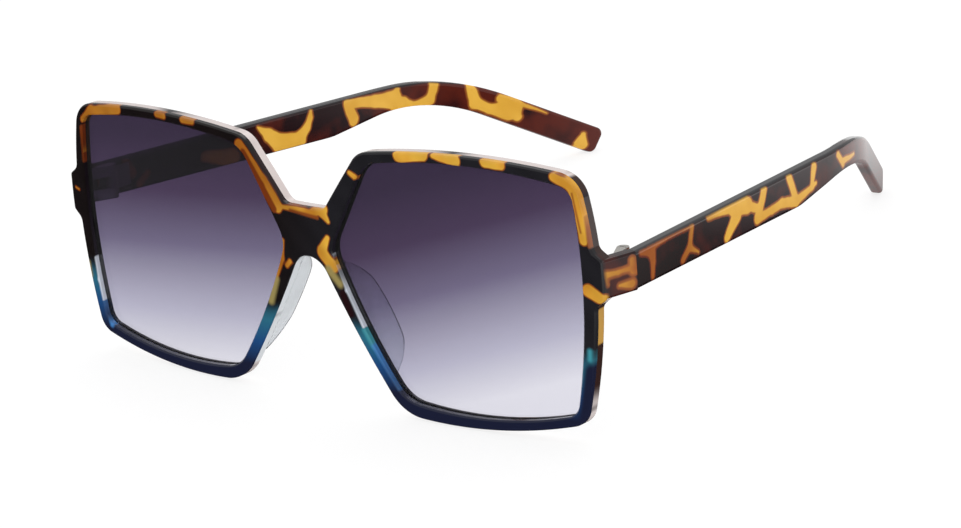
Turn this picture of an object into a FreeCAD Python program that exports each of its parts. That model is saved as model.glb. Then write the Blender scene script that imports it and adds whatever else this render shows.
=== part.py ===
import FreeCAD, Part
import math
import os
import Sketcher
from FreeCAD import Placement, Rotation, Vector

# Oversized square sunglasses, open and standing on their rims and temple tips.
# X runs across the front, Y from the front back along the temples, Z up; right means +X.

doc = FreeCAD.newDocument("sunglasses")
sheet = doc.addObject("Spreadsheet::Sheet", "sizes")

# Driving sizes, millimetres and degrees
SIZES = {
    # front: two lens openings, the rims around them, and the plan curve
    "lens_width": 60.6,
    "lens_height": 52.3,
    "lens_gap": 14.0,
    "brow_width": 2.0,
    "sill_width": 2.5,
    "cheek_width": 2.8,
    "front_radius": 565.0,
    "face_thickness": 1.2,
    "backing_thickness": 2.1,
    "rim_edge_radius": 0.45,
    "opening_bevel": 0.3,
    # corner radii of the outer outline
    "nose_arch_radius": 5.5,
    "rim_low_inner_radius": 10.0,
    "rim_low_outer_radius": 4.4,
    "rim_top_outer_radius": 6.0,
    "rim_top_inner_radius": 5.5,
    "bridge_corner_radius": 2.5,
    "lug_blend_radius": 2.0,
    "lug_corner_radius": 0.8,
    # corner radii of the lens opening
    "lens_nose_radius": 6.0,
    "lens_low_inner_radius": 8.0,
    "lens_low_outer_radius": 3.5,
    "lens_top_outer_radius": 3.6,
    "lens_top_inner_radius": 7.0,
    # lenses and their seat in the backing
    "lens_thickness": 1.5,
    "lens_lip": 0.9,
    "lens_clearance": 0.03,
    # lugs that carry the hinges
    "lug_height": 8.1,
    "lug_out": 2.0,
    "lug_flare": 2.0,
    "lug_blend_drop": 1.85,
    "lug_blend_rise": 1.6,
    "lug_edge_radius": 0.7,
    "hinge_reach": 13.1,
    # temples
    "temple_thickness": 2.8,
    "temple_height": 7.7,
    "temple_belly_height": 8.3,
    "temple_belly_at": 67.4,
    "temple_bend_at": 87.5,
    "temple_bend_radius": 61.5,
    "temple_bend_angle": 27.5,
    "temple_under_angle": 6.7,
    "temple_belly_radius": 20.0,
    "temple_slope_angle": 1.6,
    "temple_splay_angle": 6.7,
    "tip_height": 6.2,
    "tip_corner_radius": 1.6,
    "tip_straight": 26.3,
    "tip_turn_at": 79.7,
    "tip_turn_radius": 76.4,
    "tip_turn_angle": 21.0,
    "temple_edge_radius": 0.8,
    "joint_gap": 0.05,
    # hinges
    "knuckle_radius": 1.25,
    "knuckle_height": 2.44,
    "knuckle_gap": 0.06,
    "hinge_setback": 2.0,
    "hinge_gap": 0.25,
    "leaf_thickness": 0.8,
    "leaf_height": 5.0,
    "leaf_length": 5.0,
    "leaf_margin": 1.0,
    "leaf_arm": 1.8,
    "screw_radius": 0.6,
    "screw_head_radius": 0.9,
    "screw_head_height": 0.5,
    "screw_slot_width": 0.25,
    "screw_slot_depth": 0.25,
    "screw_clearance": 0.03,
    # nose pads
    "pad_length": 27.6,
    "pad_reach": 7.2,
    "pad_thickness": 1.4,
    "pad_splay_angle": 9.0,
    "pad_inset": 0.35,
    "pad_seat": 0.6,
    "pad_root_radius": 1.0,
    "pad_rear_radius": 5.5,
    "pad_edge_radius": 0.5,
    # how far a cut runs past what it cuts
    "overrun": 3.0,
}

for row, (alias, value) in enumerate(SIZES.items(), 1):
    sheet.set("A%d" % row, alias)
    sheet.set("B%d" % row, str(value))
    sheet.setAlias("B%d" % row, alias)
doc.recompute()


def size(alias):
    """The number in one cell of the sheet."""
    return float(sheet.get(alias))


# Outline corners as shares, counter-clockwise from the nose arch up the right side:
# share of the half width, share of the front's height, corner radius, bulge of the next edge
outer_corner_shares = [
    (0.0, 0.660, "nose_arch_radius", 0.021),
    (0.3153, 0.0114, "rim_low_inner_radius", 0.0492),
    (0.9446, 0.081, "rim_low_outer_radius", 0.0253),
]
outer_blend_shares = [0.9985, 0.9964]
outer_blend_bulge_shares = [-0.01, 0.02]
outer_lug_bulge_share = 0.01
outer_top_shares = [
    (0.9602, 0.9665, "rim_top_outer_radius", 0.0362),
    (0.2187, 0.963, "rim_top_inner_radius", 0.003),
    (0.0767, 0.7342, "bridge_corner_radius", -0.01),
]
# Share of the lens width and of the lens height, corner radius, bulge of the next edge
opening_corner_shares = [
    (-0.0132, 0.5927, "lens_nose_radius", 0.035),
    (0.2624, 0.021, "lens_low_inner_radius", 0.055),
    (0.9521, 0.0727, "lens_low_outer_radius", 0.0463),
    (0.9785, 0.9541, "lens_top_outer_radius", 0.0466),
    (0.16, 0.9541, "lens_top_inner_radius", 0.003),
]
# Where the lugs stand, as a share of the front's height
lug_base_share = 0.5405
# Radius under the temple's bend, as a share of the radius over it
under_bend_share = 0.76
# Nose pad: rear corners as shares of its half length and reach, and the bulge of its edges
pad_rear_share = 0.5
pad_shoulder_share = 0.94
pad_end_bulge_share = 0.1
pad_rear_bulge_share = 0.04
pad_root_bulge_share = 0.004
pad_place_share = 0.51

half_width = size("lens_gap") / 2 + size("lens_width") + size("cheek_width")
front_height = size("sill_width") + size("lens_height") + size("brow_width")
front_depth = size("face_thickness") + size("backing_thickness")
lug_x = half_width + size("lug_out")
lug_base = lug_base_share * front_height
lug_top = lug_base + size("lug_height")
FRONT_HEIGHT = "(sizes.sill_width + sizes.lens_height + sizes.brow_width)"
LUG_BASE = "%s * %s" % (lug_base_share, FRONT_HEIGHT)
HINGE_MIDDLE = "(%s + sizes.lug_height / 2)" % LUG_BASE
# How near counts as touching when edges are looked up
touch_share = 0.04
touch = size("joint_gap") * touch_share
# Where along an edge it is looked up
edge_sample_shares = (0.2, 0.5, 0.8)


def sag(x):
    """How far the front's curve has gone back at x."""
    return size("front_radius") - math.sqrt(size("front_radius") ** 2 - x ** 2)


def edge_circle(start, end, bulge_share):
    """Centre and radius of the arc from start to end; a positive bulge swells outward."""
    chord = end - start
    rise = abs(bulge_share) * chord.Length
    radius = (chord.Length ** 2 / 4 + rise ** 2) / (2 * rise)
    inward = Vector(-chord.y, chord.x, 0) / chord.Length
    side = math.copysign(radius - rise, bulge_share)
    return (start + end) / 2 + inward * side, radius


def circle_meeting(centre_a, radius_a, centre_b, radius_b, near):
    """The point common to two circles that is closer to near."""
    line = centre_b - centre_a
    along = (radius_a ** 2 - radius_b ** 2 + line.Length ** 2) / (2 * line.Length)
    across = math.sqrt(radius_a ** 2 - along ** 2)
    unit = line / line.Length
    normal = Vector(-unit.y, unit.x, 0)
    choices = [centre_a + unit * along + normal * across * sign for sign in (1, -1)]
    return min(choices, key=lambda point: (point - near).Length)


def toward(start, end, distance):
    """The point at a distance from start on the way to end."""
    return start + (end - start) / (end - start).Length * distance


def rounded_outline(corners, grow=0.0):
    """Arcs of a closed outline and the centres of its corner arcs.

    Each corner is (point, radius, bulge of the edge that follows), counter-clockwise. Every edge
    is an arc, every corner an arc tangent to both its edges; grow moves the whole outline outward.
    """
    count = len(corners)
    points = [corner[0] for corner in corners]
    circles = [edge_circle(points[i], points[(i + 1) % count], corners[i][2]) for i in range(count)]
    centres, turns, before, after = [], [], [], []
    for i in range(count):
        into = points[i] - points[i - 1]
        out = points[(i + 1) % count] - points[i]
        turn = math.copysign(1, into.x * out.y - into.y * out.x)
        reach = []
        for edge in (i - 1, i):
            swell = math.copysign(1, corners[edge][2])
            reach.append(circles[edge][1] - turn * swell * corners[i][1])
        centre = circle_meeting(circles[i - 1][0], reach[0], circles[i][0], reach[1], points[i])
        centres.append(centre)
        turns.append(turn)
        for edge, ends in ((i - 1, before), (i, after)):
            swell = math.copysign(1, corners[edge][2])
            ends.append(toward(circles[edge][0], centre, circles[edge][1] + swell * grow))
    arcs = []
    for i in range(count):
        radius = corners[i][1] + turns[i] * grow
        arcs.append(Part.Arc(before[i], toward(centres[i], points[i], radius), after[i]))
        start, end = after[i], before[(i + 1) % count]
        swell = math.copysign(1, corners[i][2])
        middle = toward(circles[i][0], (start + end) / 2, circles[i][1] + swell * grow)
        arcs.append(Part.Arc(start, middle, end))
    return arcs, centres


def straight_outline(corners):
    """Lines of a closed outline with an arc at each corner, and the centres of those arcs.

    Each corner is (point, radius).
    """
    count = len(corners)
    centres, bends = [], []
    for i in range(count):
        point, radius = corners[i]
        behind = toward(Vector(), corners[i - 1][0] - point, 1)
        ahead = toward(Vector(), corners[(i + 1) % count][0] - point, 1)
        half_angle = behind.getAngle(ahead) / 2
        centre = toward(point, point + behind + ahead, radius / math.sin(half_angle))
        tangent = radius / math.tan(half_angle)
        centres.append(centre)
        bends.append((point + behind * tangent, toward(centre, point, radius), point + ahead * tangent))
    edges = []
    for i in range(count):
        edges.append(Part.Arc(*bends[i]))
        edges.append(Part.LineSegment(bends[i][-1], bends[(i + 1) % count][0]))
    return edges, centres


def mirrored(arcs):
    """The same arcs on the other side of the middle plane."""
    flipped = []
    for arc in arcs:
        ends = [arc.value(arc.LastParameter), arc.value((arc.FirstParameter + arc.LastParameter) / 2),
                arc.value(arc.FirstParameter)]
        flipped.append(Part.Arc(*[Vector(-point.x, point.y, 0) for point in ends]))
    return flipped


def outer_corners():
    """Corners of the whole front outline, both halves, with the lugs' steps."""
    def placed_corner(x_share, z_share, radius, bulge):
        return Vector(x_share * half_width, z_share * front_height, 0), size(radius), bulge

    blend_heights = (lug_base - size("lug_blend_drop"), lug_top + size("lug_blend_rise"))
    blends = [Vector(x * half_width, z, 0) for x, z in zip(outer_blend_shares, blend_heights)]
    lug_low = Vector(lug_x, lug_base, 0)
    lug_high = Vector(lug_x, lug_top, 0)
    right = [placed_corner(*row) for row in outer_corner_shares]
    right.append((blends[0], size("lug_blend_radius"), outer_blend_bulge_shares[0]))
    right.append((lug_low, size("lug_corner_radius"), outer_lug_bulge_share))
    right.append((lug_high, size("lug_corner_radius"), outer_blend_bulge_shares[0]))
    right.append((blends[1], size("lug_blend_radius"), outer_blend_bulge_shares[1]))
    right.extend(placed_corner(*row) for row in outer_top_shares)
    left = []
    for i in range(len(right) - 1, 0, -1):
        point, radius, _ = right[i]
        left.append((Vector(-point.x, point.y, 0), radius, right[i - 1][2]))
    return right + left


def opening_corners():
    """Corners of the right lens opening."""
    corners = []
    for x_share, z_share, radius, bulge in opening_corner_shares:
        x = size("lens_gap") / 2 + x_share * size("lens_width")
        z = size("sill_width") + z_share * size("lens_height")
        corners.append((Vector(x, z, 0), size(radius), bulge))
    return corners


outer_list = outer_corners()
outer_arcs = rounded_outline(outer_list)[0]
opening_arcs = rounded_outline(opening_corners())[0]

# Temple side view: y back along the arm from the joint, z the height above the rims' foot
slope = math.radians(size("temple_slope_angle"))
bend = math.radians(size("temple_bend_angle"))
under = math.radians(size("temple_under_angle"))
under_radius = size("temple_bend_radius") * under_bend_share
arm_down = Vector(math.cos(slope), -math.sin(slope), 0)
tip_down = Vector(math.cos(slope + bend), -math.sin(slope + bend), 0)
tip_under = Vector(-math.sin(slope + bend), -math.cos(slope + bend), 0)
under_up = Vector(math.cos(under), math.sin(under), 0)
hinge_middle = lug_base + size("lug_height") / 2
joint_top = Vector(0, hinge_middle + size("temple_height") / 2, 0)
joint_low = Vector(0, hinge_middle - size("temple_height") / 2, 0)
bend_tangent = size("temple_bend_radius") * math.tan(bend / 2)
bend_point = joint_top + arm_down * (size("temple_bend_at") + bend_tangent)
tip_top = bend_point + tip_down * (bend_tangent + size("tip_straight"))
tip_low = tip_top + tip_under * size("tip_height")
belly = joint_top + arm_down * size("temple_belly_at") - Vector(0, size("temple_belly_height"), 0)
step_back = size("overrun") / (belly - joint_low).x
temple_start_low = joint_low - (belly - joint_low) * step_back
temple_start_top = joint_top - arm_down * size("overrun")
run = (tip_low.y - belly.y - (tip_low.x - belly.x) * tip_down.y / tip_down.x)
under_point = belly + under_up * (run / (under_up.y - under_up.x * tip_down.y / tip_down.x))
side_list = [
    (temple_start_top, size("temple_edge_radius")),
    (temple_start_low, size("temple_edge_radius")),
    (belly, size("temple_belly_radius")),
    (under_point, under_radius),
    (tip_low, size("tip_corner_radius")),
    (tip_top, size("tip_corner_radius")),
    (bend_point, size("temple_bend_radius")),
]
side_edges, side_centres = straight_outline(side_list)
tip_foot = side_centres[4]

# Temple plan: the outer face at x 0, the arm straight back, then the tip turned inward
turn = math.radians(size("tip_turn_angle"))
splay = math.radians(size("temple_splay_angle"))
thickness = size("temple_thickness")
tip_heading = Vector(-math.sin(turn), math.cos(turn), 0)
tip_inward = Vector(-math.cos(turn), -math.sin(turn), 0)
turn_centre = Vector(-size("tip_turn_radius"), size("tip_turn_at"), 0)
tail = tip_top.x - size("tip_turn_at")


def plan_side(inset):
    """Line, arc and line of one face of the temple, inset from its outer face."""
    radius = size("tip_turn_radius") - inset
    start = Vector(-inset, inset * math.tan(splay), 0)
    arc_start = turn_centre + Vector(radius, 0, 0)
    arc_middle = turn_centre + Vector(math.cos(turn / 2), math.sin(turn / 2), 0) * radius
    arc_end = turn_centre - tip_inward * radius
    end = arc_end + tip_heading * tail
    return start, arc_start, arc_middle, arc_end, end


def tip_sweep(y):
    """How far the temple's middle has come inward at y, past the turn."""
    end = turn_centre - tip_inward * (size("tip_turn_radius") - thickness / 2)
    return end.x - (y - end.y) * math.tan(turn)


# Standing pose: the front leans back until rims and temple tips stand on one floor
joint_outer = Vector(lug_x + size("lug_flare"), size("hinge_reach"), 0)
foot_edge = edge_circle(outer_list[1][0], outer_list[2][0], outer_list[1][2])
rim_foot_x = foot_edge[0].x
rim_foot_z = foot_edge[0].y - foot_edge[1]
tip_back = joint_outer.y + tip_sweep(tip_foot.x) * math.sin(splay) + tip_foot.x * math.cos(splay)
foot_run = tip_back - sag(rim_foot_x) - front_depth
foot_rise = tip_foot.y - rim_foot_z
tip_angle = math.asin(size("tip_corner_radius") / math.hypot(foot_run, foot_rise))
lean = math.atan2(foot_rise, foot_run) - tip_angle
stand = Placement(Vector(), Rotation(Vector(1, 0, 0), -math.degrees(lean)))
temple_place = Placement(joint_outer + Vector(0, size("joint_gap"), 0),
                         Rotation(Vector(0, 0, 1), size("temple_splay_angle")))
placed = []


def place(item, local=Placement()):
    """Put an item of the front's frame into the standing pose."""
    item.Placement = stand * local
    placed.append(item)


def new_body(name, local=Placement()):
    """A PartDesign body standing in the front's frame."""
    body = doc.addObject("PartDesign::Body", name)
    place(body, local)
    return body


def sketch_on(body, role, name, lift=None):
    """An empty sketch on one of the body's own origin planes, lifted by an expression."""
    sketch = body.newObject("Sketcher::SketchObject", name)
    plane = next(item for item in body.Origin.OriginFeatures if item.Role == role)
    sketch.AttachmentSupport = [(plane, "")]
    sketch.MapMode = "FlatFace"
    if lift:
        sketch.setExpression("AttachmentOffset.Base.z", lift)
    return sketch


def draw_polygon(sketch, points):
    """Straight lines through the points, closed."""
    for i in range(len(points)):
        sketch.addGeometry(Part.LineSegment(points[i - 1], points[i]), False)


def draw_box(sketch, low_x, low_y, high_x, high_y):
    """A rectangle between two corners."""
    corners = [(low_x, low_y), (high_x, low_y), (high_x, high_y), (low_x, high_y)]
    draw_polygon(sketch, [Vector(x, y, 0) for x, y in corners])


def draw_circle(sketch, centre, radius):
    """A circle whose radius is held by an expression."""
    index = sketch.addGeometry(Part.Circle(centre, Vector(0, 0, 1), size("screw_radius")), False)
    sketch.addConstraint(Sketcher.Constraint("Radius", index, size("screw_radius")))
    sketch.setExpression("Constraints[0]", radius)


def pad(body, sketch, name, length, symmetric=False):
    """Thicken a sketch by an expression's length."""
    feature = body.newObject("PartDesign::Pad", name)
    feature.Profile = sketch
    feature.setExpression("Length", length)
    feature.SideType = "Symmetric" if symmetric else "One side"
    return feature


def cut_through(body, sketch, name):
    """Cut a sketch through the whole body, both ways."""
    feature = body.newObject("PartDesign::Pocket", name)
    feature.Profile = sketch
    feature.Type = "ThroughAll"
    feature.SideType = "Symmetric"
    doc.recompute()
    if feature.Shape.Volume >= feature.BaseFeature.Shape.Volume:
        raise RuntimeError(name + " cuts nothing")
    return feature


def edges_where(shape, test):
    """Names of the edges whose three sample points all pass the test."""
    names = []
    for number, edge in enumerate(shape.Edges, 1):
        first, last = edge.ParameterRange
        samples = [edge.valueAt(first + (last - first) * share) for share in edge_sample_shares]
        if all(test(point) for point in samples):
            names.append("Edge%d" % number)
    return names


def dress(body, kind, name, base, names, radius):
    """A fillet or chamfer on named edges."""
    feature = body.newObject(kind, name)
    feature.Base = (base, names)
    feature.setExpression("Radius" if kind.endswith("Fillet") else "Size", radius)
    doc.recompute()
    return feature


def on_arcs(arcs):
    """A test for points whose x and z lie on the arcs."""
    wire = Part.Wire([arc.toShape() for arc in arcs])

    def test(point):
        return wire.distToShape(Part.Vertex(point.x, point.z, 0))[0] < touch
    return test


def at_depth(depth):
    """A test for points on the front's curve at a depth behind its face."""
    def test(point):
        radius = math.hypot(point.x, point.y - size("front_radius"))
        return abs(radius - size("front_radius") + depth) < touch
    return test


def curved_blank(name, front, back):
    """A sheet of the front's curve between two depths, larger than the front all round."""
    body = new_body(name)
    plan = sketch_on(body, "XY_Plane", name + "_plan", "-sizes.overrun")
    axis = Vector(0, size("front_radius"), 0)
    spread = math.asin((lug_x + size("overrun")) / size("front_radius"))
    low, high = -math.pi / 2 - spread, -math.pi / 2 + spread
    ends = []
    for depth in (front, back):
        circle = Part.Circle(axis, Vector(0, 0, 1), size("front_radius") - depth)
        plan.addGeometry(Part.ArcOfCircle(circle, low, high), False)
        ends.append((circle.value(low), circle.value(high)))
    for side in (0, 1):
        plan.addGeometry(Part.LineSegment(ends[0][side], ends[1][side]), False)
    pad(body, plan, name + "_bend", FRONT_HEIGHT + " + 2 * sizes.overrun")
    return body


def curved_sheet(name, front, back, loops):
    """A curved blank trimmed to loops drawn in front view, and its trimming feature."""
    body = curved_blank(name, front, back)
    trim = sketch_on(body, "XZ_Plane", name + "_outline")
    margin = 2 * size("overrun")
    draw_box(trim, -lug_x - margin, -margin, lug_x + margin, front_height + margin)
    for loop in loops:
        trim.addGeometry(loop, False)
    feature = cut_through(body, trim, name + "_trim")
    return body, feature


# Front: a coloured face sheet and a clear backing sheet, with a bevelled opening for each lens
rim_loops = [outer_arcs, opening_arcs, mirrored(opening_arcs)]
face_body, face_cut = curved_sheet("face_sheet", 0, size("face_thickness"), rim_loops)
on_face = at_depth(0)
on_outer = on_arcs(outer_arcs)
outer_front = edges_where(face_cut.Shape, lambda point: on_face(point) and on_outer(point))
face_round = dress(face_body, "PartDesign::Fillet", "face_round", face_cut, outer_front,
                   "sizes.rim_edge_radius")
on_openings = [on_arcs(loop) for loop in rim_loops[1:]]
opening_front = edges_where(face_round.Shape,
                            lambda point: on_face(point) and any(test(point) for test in on_openings))
dress(face_body, "PartDesign::Chamfer", "face_bevel", face_round, opening_front, "sizes.opening_bevel")

backing_body, backing_cut = curved_sheet("backing_sheet", size("face_thickness"), front_depth, rim_loops)
on_back = at_depth(front_depth)
outer_back = edges_where(backing_cut.Shape, lambda point: on_back(point) and on_outer(point))
dress(backing_body, "PartDesign::Fillet", "backing_round", backing_cut, outer_back,
      "sizes.rim_edge_radius")

# Lenses: curved with the front, held by a lip all round between the face and the backing
lens_front = size("face_thickness")
lens_back = lens_front + size("lens_thickness")
lens_arcs = rounded_outline(opening_corners(), size("lens_lip"))[0]
seat_arcs = rounded_outline(opening_corners(), size("lens_lip") + size("lens_clearance"))[0]
lens_body = curved_sheet("lens_right", lens_front, lens_back, [lens_arcs])[0]
seat_back = lens_back + size("lens_clearance")
seat_body = curved_sheet("lens_seat", lens_front, seat_back, [seat_arcs])[0]

# Lugs: they run back from the rims' sides, flaring out, to the joints with the temples
lug_thickness = thickness / math.cos(splay)
lug_root_y = sag(half_width) + size("face_thickness") / 2
lug_root = Vector(lug_x, lug_root_y, 0)
lug_in = Vector(-lug_thickness, 0, 0)
joint_inner = joint_outer + lug_in
lug_body = new_body("lug")
lug_plan = sketch_on(lug_body, "XY_Plane", "lug_plan", LUG_BASE)
draw_polygon(lug_plan, [lug_root, joint_outer, joint_inner, lug_root + lug_in])
lug_pad = pad(lug_body, lug_plan, "lug_block", "sizes.lug_height")
doc.recompute()
lug_long = edges_where(lug_pad.Shape, lambda point: lug_root_y + touch < point.y < joint_outer.y - touch
                       and min(point.z - lug_base, lug_top - point.z) < touch)
dress(lug_body, "PartDesign::Fillet", "lug_round", lug_pad, lug_long, "sizes.lug_edge_radius")

# Temple: side view and plan view together give its shape
temple_body = new_body("temple_blank", temple_place)
side_view = sketch_on(temple_body, "YZ_Plane", "temple_side")
side_view.addGeometry(side_edges, False)
pad(temple_body, side_view, "temple_slab", "2 * sizes.temple_bend_radius", True)
plan_view = sketch_on(temple_body, "XY_Plane", "temple_plan")
wide = size("temple_bend_radius") + size("overrun")
draw_box(plan_view, -wide, -2 * size("overrun"), wide, tip_top.x + wide)
outer_side = plan_side(0)
inner_side = plan_side(thickness)
plan_edges = []
for start, arc_start, arc_middle, arc_end, end in (outer_side, inner_side):
    plan_edges.append(Part.LineSegment(start, arc_start))
    plan_edges.append(Part.Arc(arc_start, arc_middle, arc_end))
    plan_edges.append(Part.LineSegment(arc_end, end))
for first, second in ((outer_side[0], inner_side[0]), (outer_side[-1], inner_side[-1])):
    plan_view.addGeometry(Part.LineSegment(first, second), False)
plan_view.addGeometry(plan_edges, False)
temple_cut = cut_through(temple_body, plan_view, "temple_trim")
plan_wires = [Part.Wire([edge.toShape() for edge in plan_edges[i:i + 3]]) for i in (0, 3)]
side_wire = Part.Wire([edge.toShape() for edge in side_edges])


def on_temple_edge(point):
    """True where the side view's outline meets the temple's outer or inner face."""
    from_above = Part.Vertex(point.x, point.y, 0)
    from_side = Part.Vertex(point.y, point.z, 0)
    on_face = min(wire.distToShape(from_above)[0] for wire in plan_wires) < touch
    return on_face and side_wire.distToShape(from_side)[0] < touch


temple_long = edges_where(temple_cut.Shape, on_temple_edge)
dress(temple_body, "PartDesign::Fillet", "temple_round", temple_cut, temple_long,
      "sizes.temple_edge_radius")

# Hinge: the axis stands inside the temple's inner face, a little behind the joint
arm_back = Vector(-math.sin(splay), math.cos(splay), 0)
arm_inboard = Vector(-math.cos(splay), -math.sin(splay), 0)
temple_inner = joint_inner + Vector(0, size("joint_gap"), 0)
axis_offset = size("knuckle_radius") + size("hinge_gap")
hinge_axis = temple_inner + arm_back * size("hinge_setback") + arm_inboard * axis_offset
lug_forward = toward(Vector(), lug_root - joint_outer, 1)
lug_outboard = Vector(-lug_forward.y, lug_forward.x, 0)
UPPER = HINGE_MIDDLE + " + sizes.knuckle_height / 2 + sizes.knuckle_gap"
LOWER = HINGE_MIDDLE + " - sizes.knuckle_height * 1.5 - sizes.knuckle_gap"
MIDDLE = HINGE_MIDDLE + " - sizes.knuckle_height / 2"


def hinge_leaf(name, start, heading, into, levels):
    """A plate let into a face, with an arm and a knuckle at each level, bored for the screw.

    start is where the plate begins on the face, heading runs along it, into points under it.
    """
    body = new_body(name)
    sink = into * size("leaf_thickness")
    far = start + heading * size("leaf_length")
    arm_end = start + heading * size("leaf_arm")
    plate = sketch_on(body, "XY_Plane", name + "_plate_plan", HINGE_MIDDLE + " - sizes.leaf_height / 2")
    draw_polygon(plate, [start, far, far + sink, start + sink])
    pad(body, plate, name + "_plate", "sizes.leaf_height")
    arm_line = hinge_axis - (start + arm_end) / 2
    across = Vector(arm_line.y, -arm_line.x, 0) / arm_line.Length * size("knuckle_radius")
    if across * (start - arm_end) < 0:
        across = across * -1
    for count, level in enumerate(levels):
        arm = sketch_on(body, "XY_Plane", "%s_arm_plan_%d" % (name, count), level)
        draw_polygon(arm, [start, hinge_axis + across, hinge_axis - across, arm_end,
                           arm_end + sink, start + sink])
        pad(body, arm, "%s_arm_%d" % (name, count), "sizes.knuckle_height")
        knuckle = sketch_on(body, "XY_Plane", "%s_knuckle_plan_%d" % (name, count), level)
        draw_circle(knuckle, hinge_axis, "sizes.knuckle_radius")
        pad(body, knuckle, "%s_knuckle_%d" % (name, count), "sizes.knuckle_height")
    bore = sketch_on(body, "XY_Plane", name + "_bore_plan")
    draw_circle(bore, hinge_axis, "sizes.screw_radius + sizes.screw_clearance")
    cut_through(body, bore, name + "_bore")
    return body


front_start = joint_inner + lug_forward * size("leaf_margin")
front_leaf = hinge_leaf("hinge_front_leaf_right", front_start, lug_forward, lug_outboard, [UPPER, LOWER])
head_seat = sketch_on(front_leaf, "XY_Plane", "head_seat_plan", UPPER + " + sizes.knuckle_height")
draw_circle(head_seat, hinge_axis, "sizes.screw_head_radius + sizes.screw_clearance")
head_pocket = front_leaf.newObject("PartDesign::Pocket", "head_seat")
head_pocket.Profile = head_seat
head_pocket.setExpression("Length", "sizes.screw_head_height")
doc.recompute()
if head_pocket.Shape.Volume >= head_pocket.BaseFeature.Shape.Volume:
    raise RuntimeError("the screw's head seat cuts nothing")
temple_start = temple_inner + arm_back * (size("hinge_setback") + size("knuckle_radius"))
temple_leaf = hinge_leaf("hinge_temple_leaf_right", temple_start, arm_back, arm_inboard * -1, [MIDDLE])


def part_object(kind, name, **sizes):
    """A Part primitive whose sizes are expressions."""
    item = doc.addObject(kind, name)
    for prop, expression in sizes.items():
        item.setExpression(prop, expression)
    return item


def boolean(kind, name, base, tool):
    """A Part boolean of two items."""
    item = doc.addObject(kind, name)
    item.Base = base
    item.Tool = tool
    return item


def group(kind, name, items):
    """A compound or fusion of several items."""
    item = doc.addObject(kind, name)
    setattr(item, "Links" if kind == "Part::Compound" else "Shapes", items)
    return item


def mirror(source, name):
    """The same piece on the other side of the middle plane."""
    item = doc.addObject("Part::Mirroring", name)
    item.Source = source
    item.Normal = Vector(1, 0, 0)
    return item


# Screw: a slotted head flush with the top knuckle, its shank through all three
stack_height = size("knuckle_height") * 3 + size("knuckle_gap") * 2
stack_low = hinge_middle - stack_height / 2
head_z = stack_low + stack_height - size("screw_head_height")
slot_z = stack_low + stack_height - size("screw_slot_depth")
shank = part_object("Part::Cylinder", "screw_shank", Radius="sizes.screw_radius",
                    Height="sizes.knuckle_height * 3 + sizes.knuckle_gap * 2 - sizes.screw_head_height")
head = part_object("Part::Cylinder", "screw_head", Radius="sizes.screw_head_radius",
                   Height="sizes.screw_head_height")
slot = part_object("Part::Box", "screw_slot", Length="sizes.screw_head_radius * 4",
                   Width="sizes.screw_slot_width", Height="sizes.screw_slot_depth * 2")
place(shank, Placement(hinge_axis + Vector(0, 0, stack_low), Rotation()))
place(head, Placement(hinge_axis + Vector(0, 0, head_z), Rotation()))
slot_corner = Vector(-size("screw_head_radius") * 2, -size("screw_slot_width") / 2, slot_z)
place(slot, Placement(hinge_axis + slot_corner, Rotation()))
screw = boolean("Part::Cut", "hinge_screw_right", boolean("Part::Fuse", "screw_blank", shank, head), slot)

# Nose pad: a leaf standing back from the rim beside the nose, splayed outward
pad_edge = edge_circle(outer_list[0][0], outer_list[1][0], outer_list[0][2])
pad_chord = outer_list[1][0] - outer_list[0][0]
pad_middle = toward(pad_edge[0], outer_list[0][0] + pad_chord * pad_place_share, pad_edge[1])
pad_along = Vector(pad_chord.x, 0, pad_chord.y) / pad_chord.Length
pad_outboard = Vector(-pad_along.z, 0, pad_along.x)
pad_tilt = math.radians(size("pad_splay_angle"))
pad_back = pad_outboard * math.sin(pad_tilt) + Vector(0, math.cos(pad_tilt), 0)
pad_root = Vector(pad_middle.x, sag(pad_middle.x) + front_depth, pad_middle.y)
pad_place = Placement(pad_root + pad_outboard * size("pad_inset"),
                      Rotation(pad_along, pad_back, pad_along.cross(pad_back)))
pad_half = size("pad_length") / 2
pad_list = [
    (Vector(-pad_half, -size("pad_seat"), 0), size("pad_root_radius"), pad_root_bulge_share),
    (Vector(pad_half, -size("pad_seat"), 0), size("pad_root_radius"), pad_end_bulge_share),
    (Vector(pad_half * pad_rear_share, size("pad_reach") * pad_shoulder_share, 0),
     size("pad_rear_radius"), pad_rear_bulge_share),
    (Vector(-pad_half * pad_rear_share, size("pad_reach") * pad_shoulder_share, 0),
     size("pad_rear_radius"), pad_end_bulge_share),
]
pad_body = new_body("nose_pad_blank", pad_place)
pad_view = sketch_on(pad_body, "XY_Plane", "nose_pad_plan")
pad_view.addGeometry(rounded_outline(pad_list)[0], False)
pad_block = pad(pad_body, pad_view, "nose_pad_block", "sizes.pad_thickness")
doc.recompute()
pad_edges = edges_where(pad_block.Shape,
                        lambda point: min(point.z, size("pad_thickness") - point.z) < touch)
dress(pad_body, "PartDesign::Fillet", "nose_pad_round", pad_block, pad_edges, "sizes.pad_edge_radius")

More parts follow.
